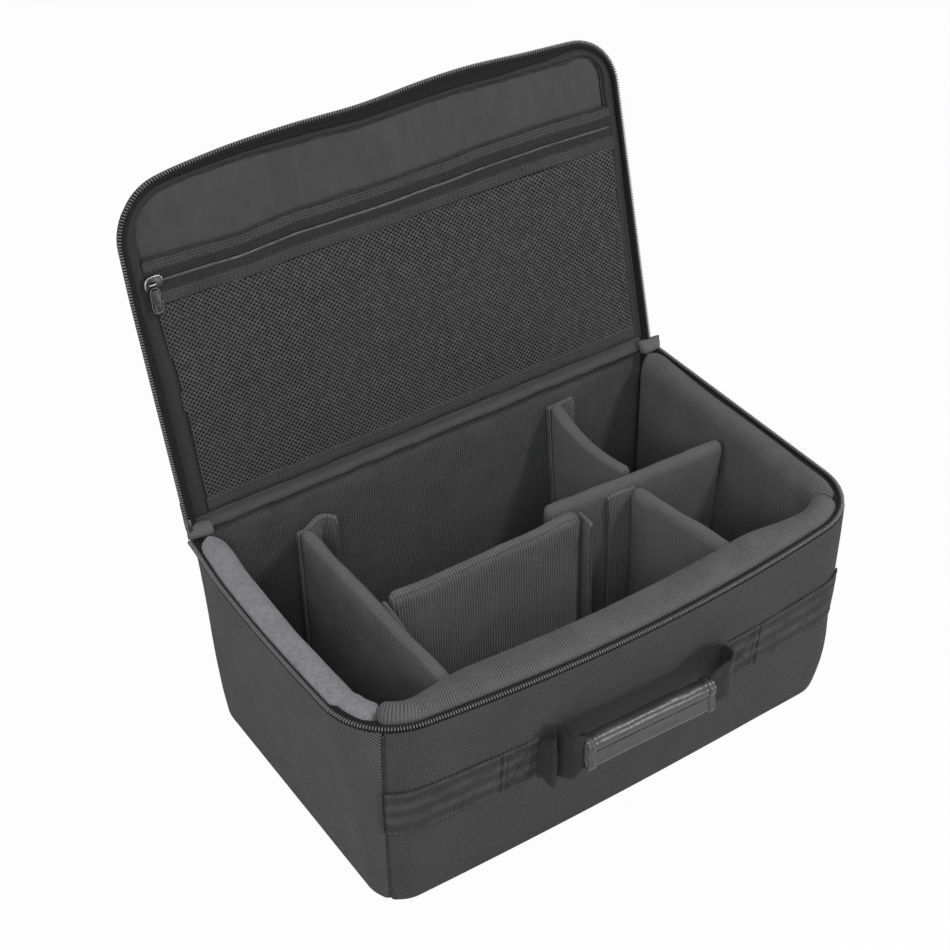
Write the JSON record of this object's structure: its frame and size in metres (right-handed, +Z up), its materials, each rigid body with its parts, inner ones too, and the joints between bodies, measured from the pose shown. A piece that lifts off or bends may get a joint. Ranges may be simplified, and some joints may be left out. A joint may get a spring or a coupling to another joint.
{
  "type": "camera bag insert",
  "caption": "Padded open box with movable dividers, a webbing carry handle and a zip-round hinged lid that has a net pocket inside.",
  "frame": {"origin": "middle of the underside, on the plane the case stands on", "axes": "+X to the right along the front, +Y from the front to the hinge side, +Z up"},
  "size_m": [0.3813, 0.3246, 0.3895],
  "materials": {
    "shell_fabric": "woven",
    "board": "matte",
    "pad_fabric": "napped",
    "front_pad_fabric": "ribbed nap",
    "left_pad_fabric": "napped",
    "right_pad_fabric": "ribbed nap",
    "tab_fabric": "woven",
    "lining_fabric": "woven",
    "binding_fabric": "ribbed",
    "webbing": "ribbed",
    "grip_leather": "grained, satin",
    "foam": "matte",
    "zip_black": "satin",
    "zip_metal": "satin",
    "pocket_tape": "woven",
    "net": "knitted",
    "divider_fabric": "ribbed nap",
    "divider_light_fabric": "napped"
  },
  "bodies": {
    "case": {"front_panel": "shell_fabric", "left_panel": "shell_fabric", "right_panel": "shell_fabric", "back_panel": "shell_fabric", "bottom_panel": "shell_fabric", "bottom_board": "board", "floor_pad": "pad_fabric", "front_pad": "front_pad_fabric", "left_pad": "left_pad_fabric", "right_pad": "right_pad_fabric", "back_pad": "pad_fabric", "case_zip_tape": "zip_black", "case_zip_teeth": "zip_black", "zip_tab_left": "tab_fabric", "zip_tab_right": "tab_fabric", "hinge_strip": "lining_fabric", "band_left": "webbing", "band_right": "webbing", "handle_strap_left": "webbing", "handle_strap_right": "webbing"},
    "handle": {"handle_core": "webbing", "handle_grip": "grip_leather", "grip_band_left": "grip_leather", "grip_band_right": "grip_leather"},
    "lid": {"lid_cover": "shell_fabric", "lid_foam": "foam", "lid_lining": "lining_fabric", "lid_binding": "binding_fabric", "lid_zip_tape": "zip_black", "lid_zip_teeth": "zip_black", "pocket_net": "net", "pocket_top_tape": "pocket_tape", "pocket_zip_teeth": "zip_black", "pocket_lower_tape": "pocket_tape", "pocket_divider_tape": "pocket_tape", "pocket_bottom_tape": "pocket_tape"},
    "zip_slider": {"zip_slider": "zip_metal"},
    "zip_puller": {"zip_puller": "zip_metal"},
    "pocket_slider": {"pocket_slider": "zip_metal"},
    "pocket_puller": {"pocket_puller": "zip_metal"},
    "divider_long": {"divider_long": "divider_fabric", "divider_long_tab": "divider_light_fabric"},
    "divider_cross_left": {"divider_cross_left": "divider_fabric", "divider_cross_left_front_tab": "divider_light_fabric", "divider_cross_left_end_tab": "divider_light_fabric"},
    "divider_cross_right": {"divider_cross_right": "divider_fabric", "divider_cross_right_lap_tab": "divider_light_fabric"},
    "divider_back": {"divider_back": "divider_light_fabric", "divider_back_tab": "divider_light_fabric"},
    "divider_front": {"divider_front": "divider_fabric", "divider_front_tab": "divider_light_fabric"}
  },
  "joints": [
    {"name": "lid_hinge", "type": "hinge", "parent": "case", "child": "lid", "pos_m": [0, 0.099, 0.161], "axis": [-1, 0, 0], "range_deg": [-104, 31], "deforming": ["hinge_strip"]},
    {"name": "handle_pull", "type": "slide", "parent": "case", "child": "handle", "axis": [0, -1, 0], "range_m": [-0.005, 0.02], "deforming": ["handle_strap_left", "handle_strap_right"]},
    {"name": "zip_slider_slide", "type": "slide", "parent": "lid", "child": "zip_slider", "axis": [0, 0.2419, 0.9703], "range_m": [0, 0.18]},
    {"name": "zip_puller_swing", "type": "hinge", "parent": "zip_slider", "child": "zip_puller", "pos_m": [-0.1861, 0.10535, 0.16684], "axis": [-1, 0, 0], "range_deg": [0, 95]},
    {"name": "pocket_slide", "type": "slide", "parent": "lid", "child": "pocket_slider", "axis": [1, 0, 0], "range_m": [0, 0.3336]},
    {"name": "pocket_puller_swing", "type": "hinge", "parent": "pocket_slider", "child": "pocket_puller", "pos_m": [-0.1668, 0.13923, 0.32195], "axis": [0, 0.9703, -0.2419], "range_deg": [-80, 45]},
    {"name": "divider_long_lift", "type": "slide", "parent": "case", "child": "divider_long", "axis": [0, 0, 1], "range_m": [0, 0.16]},
    {"name": "divider_cross_left_lift", "type": "slide", "parent": "case", "child": "divider_cross_left", "axis": [0, 0, 1], "range_m": [0, 0.16]},
    {"name": "divider_cross_right_lift", "type": "slide", "parent": "case", "child": "divider_cross_right", "axis": [0, 0, 1], "range_m": [0, 0.16]},
    {"name": "divider_back_lift", "type": "slide", "parent": "case", "child": "divider_back", "axis": [0, 0, 1], "range_m": [0, 0.16]},
    {"name": "divider_front_lift", "type": "slide", "parent": "case", "child": "divider_front", "axis": [0, 0, 1], "range_m": [0, 0.16]}
  ]
}
